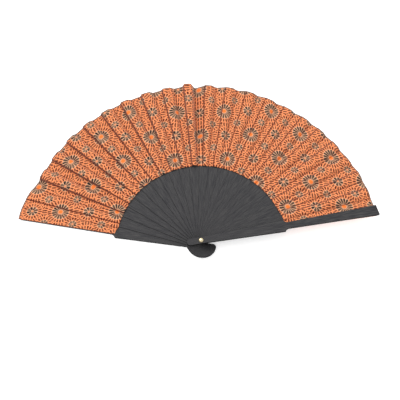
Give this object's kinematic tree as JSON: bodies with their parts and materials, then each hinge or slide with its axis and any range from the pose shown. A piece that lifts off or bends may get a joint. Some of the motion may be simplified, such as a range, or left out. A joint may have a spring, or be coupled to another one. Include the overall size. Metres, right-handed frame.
{
  "type": "folding hand fan",
  "caption": "Folding hand fan: dark flat sticks turning on one brass rivet between two thicker guards, with a pleated printed cloth leaf.",
  "frame": {"origin": "on the rivet's axis, at the flat end of the rivet on the back of the fan, which is flush with the back of the rear guard", "axes": "+Z along the rivet, from the back of the fan to the front guard and the rivet's domed head; +X along the widest reach of the open fan, to the front guard's side; +Y from the rivet to the middle of the open leaf"},
  "size_m": [0.4303, 0.2304, 0.0212],
  "materials": {
    "stained_wood": "dark stain, satin",
    "printed_cotton": "printed plain weave, matt",
    "rivet_brass": "polished"
  },
  "bodies": {
    "rear_guard": {"rear_guard": "stained_wood", "rivet": "rivet_brass", "rear_washer": "rivet_brass", "leaf_end_rear": "printed_cotton"},
    "front_guard": {"front_guard": "stained_wood", "leaf_end_front": "printed_cotton"},
    "stick_01": {"stick_01": "stained_wood"},
    "stick_02": {"stick_02": "stained_wood"},
    "stick_03": {"stick_03": "stained_wood"},
    "stick_04": {"stick_04": "stained_wood"},
    "stick_05": {"stick_05": "stained_wood"},
    "stick_06": {"stick_06": "stained_wood"},
    "stick_07": {"stick_07": "stained_wood"},
    "stick_08": {"stick_08": "stained_wood"},
    "stick_09": {"stick_09": "stained_wood"},
    "stick_10": {"stick_10": "stained_wood"},
    "stick_11": {"stick_11": "stained_wood"},
    "stick_12": {"stick_12": "stained_wood"},
    "stick_13": {"stick_13": "stained_wood"},
    "stick_14": {"stick_14": "stained_wood"},
    "stick_15": {"stick_15": "stained_wood"},
    "stick_16": {"stick_16": "stained_wood"},
    "stick_17": {"stick_17": "stained_wood"},
    "stick_18": {"stick_18": "stained_wood"},
    "stick_19": {"stick_19": "stained_wood"},
    "stick_20": {"stick_20": "stained_wood"},
    "stick_21": {"stick_21": "stained_wood"},
    "pleat_01": {"leaf_pleat_01": "printed_cotton"},
    "pleat_02": {"leaf_pleat_02": "printed_cotton"},
    "pleat_03": {"leaf_pleat_03": "printed_cotton"},
    "pleat_04": {"leaf_pleat_04": "printed_cotton"},
    "pleat_05": {"leaf_pleat_05": "printed_cotton"},
    "pleat_06": {"leaf_pleat_06": "printed_cotton"},
    "pleat_07": {"leaf_pleat_07": "printed_cotton"},
    "pleat_08": {"leaf_pleat_08": "printed_cotton"},
    "pleat_09": {"leaf_pleat_09": "printed_cotton"},
    "pleat_10": {"leaf_pleat_10": "printed_cotton"},
    "pleat_11": {"leaf_pleat_11": "printed_cotton"},
    "pleat_12": {"leaf_pleat_12": "printed_cotton"},
    "pleat_13": {"leaf_pleat_13": "printed_cotton"},
    "pleat_14": {"leaf_pleat_14": "printed_cotton"},
    "pleat_15": {"leaf_pleat_15": "printed_cotton"},
    "pleat_16": {"leaf_pleat_16": "printed_cotton"},
    "pleat_17": {"leaf_pleat_17": "printed_cotton"},
    "pleat_18": {"leaf_pleat_18": "printed_cotton"},
    "pleat_19": {"leaf_pleat_19": "printed_cotton"},
    "pleat_20": {"leaf_pleat_20": "printed_cotton"},
    "pleat_21": {"leaf_pleat_21": "printed_cotton"},
    "pleat_22": {"leaf_pleat_22": "printed_cotton"}
  },
  "joints": [
    {"name": "front_guard_fold", "type": "hinge", "parent": "rear_guard", "child": "front_guard", "pos_m": [0, 0, 0], "axis": [0, 0, 1], "range_deg": [0, 160]},
    {"name": "stick_01_fold", "type": "hinge", "parent": "rear_guard", "child": "stick_01", "pos_m": [0, 0, 0], "axis": [0, 0, 1], "range_deg": [0, 8.01]},
    {"name": "stick_02_fold", "type": "hinge", "parent": "rear_guard", "child": "stick_02", "pos_m": [0, 0, 0], "axis": [0, 0, 1], "range_deg": [0, 15.94]},
    {"name": "stick_03_fold", "type": "hinge", "parent": "rear_guard", "child": "stick_03", "pos_m": [0, 0, 0], "axis": [0, 0, 1], "range_deg": [0, 23.8]},
    {"name": "stick_04_fold", "type": "hinge", "parent": "rear_guard", "child": "stick_04", "pos_m": [0, 0, 0], "axis": [0, 0, 1], "range_deg": [0, 31.59]},
    {"name": "stick_05_fold", "type": "hinge", "parent": "rear_guard", "child": "stick_05", "pos_m": [0, 0, 0], "axis": [0, 0, 1], "range_deg": [0, 39.32]},
    {"name": "stick_06_fold", "type": "hinge", "parent": "rear_guard", "child": "stick_06", "pos_m": [0, 0, 0], "axis": [0, 0, 1], "range_deg": [0, 46.97]},
    {"name": "stick_07_fold", "type": "hinge", "parent": "rear_guard", "child": "stick_07", "pos_m": [0, 0, 0], "axis": [0, 0, 1], "range_deg": [0, 54.56]},
    {"name": "stick_08_fold", "type": "hinge", "parent": "rear_guard", "child": "stick_08", "pos_m": [0, 0, 0], "axis": [0, 0, 1], "range_deg": [0, 62.07]},
    {"name": "stick_09_fold", "type": "hinge", "parent": "rear_guard", "child": "stick_09", "pos_m": [0, 0, 0], "axis": [0, 0, 1], "range_deg": [0, 69.52]},
    {"name": "stick_10_fold", "type": "hinge", "parent": "rear_guard", "child": "stick_10", "pos_m": [0, 0, 0], "axis": [0, 0, 1], "range_deg": [0, 76.89]},
    {"name": "stick_11_fold", "type": "hinge", "parent": "rear_guard", "child": "stick_11", "pos_m": [0, 0, 0], "axis": [0, 0, 1], "range_deg": [0, 84.2]},
    {"name": "stick_12_fold", "type": "hinge", "parent": "rear_guard", "child": "stick_12", "pos_m": [0, 0, 0], "axis": [0, 0, 1], "range_deg": [0, 91.44]},
    {"name": "stick_13_fold", "type": "hinge", "parent": "rear_guard", "child": "stick_13", "pos_m": [0, 0, 0], "axis": [0, 0, 1], "range_deg": [0, 98.61]},
    {"name": "stick_14_fold", "type": "hinge", "parent": "rear_guard", "child": "stick_14", "pos_m": [0, 0, 0], "axis": [0, 0, 1], "range_deg": [0, 105.71]},
    {"name": "stick_15_fold", "type": "hinge", "parent": "rear_guard", "child": "stick_15", "pos_m": [0, 0, 0], "axis": [0, 0, 1], "range_deg": [0, 112.74]},
    {"name": "stick_16_fold", "type": "hinge", "parent": "rear_guard", "child": "stick_16", "pos_m": [0, 0, 0], "axis": [0, 0, 1], "range_deg": [0, 119.7]},
    {"name": "stick_17_fold", "type": "hinge", "parent": "rear_guard", "child": "stick_17", "pos_m": [0, 0, 0], "axis": [0, 0, 1], "range_deg": [0, 126.59]},
    {"name": "stick_18_fold", "type": "hinge", "parent": "rear_guard", "child": "stick_18", "pos_m": [0, 0, 0], "axis": [0, 0, 1], "range_deg": [0, 133.41]},
    {"name": "stick_19_fold", "type": "hinge", "parent": "rear_guard", "child": "stick_19", "pos_m": [0, 0, 0], "axis": [0, 0, 1], "range_deg": [0, 140.17]},
    {"name": "stick_20_fold", "type": "hinge", "parent": "rear_guard", "child": "stick_20", "pos_m": [0, 0, 0], "axis": [0, 0, 1], "range_deg": [0, 146.85]},
    {"name": "stick_21_fold", "type": "hinge", "parent": "rear_guard", "child": "stick_21", "pos_m": [0, 0, 0], "axis": [0, 0, 1], "range_deg": [0, 153.46]},
    {"name": "pleat_01_fold", "type": "hinge", "parent": "rear_guard", "child": "pleat_01", "pos_m": [0, 0, 0], "axis": [0, 0, 1], "range_deg": [0, 4.01]},
    {"name": "pleat_02_fold", "type": "hinge", "parent": "rear_guard", "child": "pleat_02", "pos_m": [0, 0, 0], "axis": [0, 0, 1], "range_deg": [0, 11.98]},
    {"name": "pleat_03_fold", "type": "hinge", "parent": "rear_guard", "child": "pleat_03", "pos_m": [0, 0, 0], "axis": [0, 0, 1], "range_deg": [0, 19.87]},
    {"name": "pleat_04_fold", "type": "hinge", "parent": "rear_guard", "child": "pleat_04", "pos_m": [0, 0, 0], "axis": [0, 0, 1], "range_deg": [0, 27.7]},
    {"name": "pleat_05_fold", "type": "hinge", "parent": "rear_guard", "child": "pleat_05", "pos_m": [0, 0, 0], "axis": [0, 0, 1], "range_deg": [0, 35.46]},
    {"name": "pleat_06_fold", "type": "hinge", "parent": "rear_guard", "child": "pleat_06", "pos_m": [0, 0, 0], "axis": [0, 0, 1], "range_deg": [0, 43.14]},
    {"name": "pleat_07_fold", "type": "hinge", "parent": "rear_guard", "child": "pleat_07", "pos_m": [0, 0, 0], "axis": [0, 0, 1], "range_deg": [0, 50.76]},
    {"name": "pleat_08_fold", "type": "hinge", "parent": "rear_guard", "child": "pleat_08", "pos_m": [0, 0, 0], "axis": [0, 0, 1], "range_deg": [0, 58.31]},
    {"name": "pleat_09_fold", "type": "hinge", "parent": "rear_guard", "child": "pleat_09", "pos_m": [0, 0, 0], "axis": [0, 0, 1], "range_deg": [0, 65.79]},
    {"name": "pleat_10_fold", "type": "hinge", "parent": "rear_guard", "child": "pleat_10", "pos_m": [0, 0, 0], "axis": [0, 0, 1], "range_deg": [0, 73.2]},
    {"name": "pleat_11_fold", "type": "hinge", "parent": "rear_guard", "child": "pleat_11", "pos_m": [0, 0, 0], "axis": [0, 0, 1], "range_deg": [0, 80.55]},
    {"name": "pleat_12_fold", "type": "hinge", "parent": "rear_guard", "child": "pleat_12", "pos_m": [0, 0, 0], "axis": [0, 0, 1], "range_deg": [0, 87.82]},
    {"name": "pleat_13_fold", "type": "hinge", "parent": "rear_guard", "child": "pleat_13", "pos_m": [0, 0, 0], "axis": [0, 0, 1], "range_deg": [0, 95.02]},
    {"name": "pleat_14_fold", "type": "hinge", "parent": "rear_guard", "child": "pleat_14", "pos_m": [0, 0, 0], "axis": [0, 0, 1], "range_deg": [0, 102.16]},
    {"name": "pleat_15_fold", "type": "hinge", "parent": "rear_guard", "child": "pleat_15", "pos_m": [0, 0, 0], "axis": [0, 0, 1], "range_deg": [0, 109.22]},
    {"name": "pleat_16_fold", "type": "hinge", "parent": "rear_guard", "child": "pleat_16", "pos_m": [0, 0, 0], "axis": [0, 0, 1], "range_deg": [0, 116.22]},
    {"name": "pleat_17_fold", "type": "hinge", "parent": "rear_guard", "child": "pleat_17", "pos_m": [0, 0, 0], "axis": [0, 0, 1], "range_deg": [0, 123.14]},
    {"name": "pleat_18_fold", "type": "hinge", "parent": "rear_guard", "child": "pleat_18", "pos_m": [0, 0, 0], "axis": [0, 0, 1], "range_deg": [0, 130]},
    {"name": "pleat_19_fold", "type": "hinge", "parent": "rear_guard", "child": "pleat_19", "pos_m": [0, 0, 0], "axis": [0, 0, 1], "range_deg": [0, 136.79]},
    {"name": "pleat_20_fold", "type": "hinge", "parent": "rear_guard", "child": "pleat_20", "pos_m": [0, 0, 0], "axis": [0, 0, 1], "range_deg": [0, 143.51]},
    {"name": "pleat_21_fold", "type": "hinge", "parent": "rear_guard", "child": "pleat_21", "pos_m": [0, 0, 0], "axis": [0, 0, 1], "range_deg": [0, 150.16]},
    {"name": "pleat_22_fold", "type": "hinge", "parent": "rear_guard", "child": "pleat_22", "pos_m": [0, 0, 0], "axis": [0, 0, 1], "range_deg": [0, 156.74]}
  ],
  "couplings": [
    {"joint": "stick_01_fold", "follows": "front_guard_fold", "ratio": 0.05},
    {"joint": "stick_02_fold", "follows": "front_guard_fold", "ratio": 0.099567},
    {"joint": "stick_03_fold", "follows": "front_guard_fold", "ratio": 0.1487},
    {"joint": "stick_04_fold", "follows": "front_guard_fold", "ratio": 0.1974},
    {"joint": "stick_05_fold", "follows": "front_guard_fold", "ratio": 0.24567},
    {"joint": "stick_06_fold", "follows": "front_guard_fold", "ratio": 0.29351},
    {"joint": "stick_07_fold", "follows": "front_guard_fold", "ratio": 0.34091},
    {"joint": "stick_08_fold", "follows": "front_guard_fold", "ratio": 0.38788},
    {"joint": "stick_09_fold", "follows": "front_guard_fold", "ratio": 0.43442},
    {"joint": "stick_10_fold", "follows": "front_guard_fold", "ratio": 0.48052},
    {"joint": "stick_11_fold", "follows": "front_guard_fold", "ratio": 0.52619},
    {"joint": "stick_12_fold", "follows": "front_guard_fold", "ratio": 0.57143},
    {"joint": "stick_13_fold", "follows": "front_guard_fold", "ratio": 0.61623},
    {"joint": "stick_14_fold", "follows": "front_guard_fold", "ratio": 0.66061},
    {"joint": "stick_15_fold", "follows": "front_guard_fold", "ratio": 0.70454},
    {"joint": "stick_16_fold", "follows": "front_guard_fold", "ratio": 0.74805},
    {"joint": "stick_17_fold", "follows": "front_guard_fold", "ratio": 0.79113},
    {"joint": "stick_18_fold", "follows": "front_guard_fold", "ratio": 0.83377},
    {"joint": "stick_19_fold", "follows": "front_guard_fold", "ratio": 0.87597},
    {"joint": "stick_20_fold", "follows": "front_guard_fold", "ratio": 0.91775},
    {"joint": "stick_21_fold", "follows": "front_guard_fold", "ratio": 0.95909},
    {"joint": "pleat_01_fold", "follows": "front_guard_fold", "ratio": 0.025},
    {"joint": "pleat_02_fold", "follows": "front_guard_fold", "ratio": 0.074784},
    {"joint": "pleat_03_fold", "follows": "front_guard_fold", "ratio": 0.12413},
    {"joint": "pleat_04_fold", "follows": "front_guard_fold", "ratio": 0.17305},
    {"joint": "pleat_05_fold", "follows": "front_guard_fold", "ratio": 0.22154},
    {"joint": "pleat_06_fold", "follows": "front_guard_fold", "ratio": 0.26959},
    {"joint": "pleat_07_fold", "follows": "front_guard_fold", "ratio": 0.31721},
    {"joint": "pleat_08_fold", "follows": "front_guard_fold", "ratio": 0.36439},
    {"joint": "pleat_09_fold", "follows": "front_guard_fold", "ratio": 0.41115},
    {"joint": "pleat_10_fold", "follows": "front_guard_fold", "ratio": 0.45747},
    {"joint": "pleat_11_fold", "follows": "front_guard_fold", "ratio": 0.50335},
    {"joint": "pleat_12_fold", "follows": "front_guard_fold", "ratio": 0.54881},
    {"joint": "pleat_13_fold", "follows": "front_guard_fold", "ratio": 0.59383},
    {"joint": "pleat_14_fold", "follows": "front_guard_fold", "ratio": 0.63842},
    {"joint": "pleat_15_fold", "follows": "front_guard_fold", "ratio": 0.68258},
    {"joint": "pleat_16_fold", "follows": "front_guard_fold", "ratio": 0.7263},
    {"joint": "pleat_17_fold", "follows": "front_guard_fold", "ratio": 0.76959},
    {"joint": "pleat_18_fold", "follows": "front_guard_fold", "ratio": 0.81245},
    {"joint": "pleat_19_fold", "follows": "front_guard_fold", "ratio": 0.85487},
    {"joint": "pleat_20_fold", "follows": "front_guard_fold", "ratio": 0.89686},
    {"joint": "pleat_21_fold", "follows": "front_guard_fold", "ratio": 0.93842},
    {"joint": "pleat_22_fold", "follows": "front_guard_fold", "ratio": 0.97954}
  ]
}
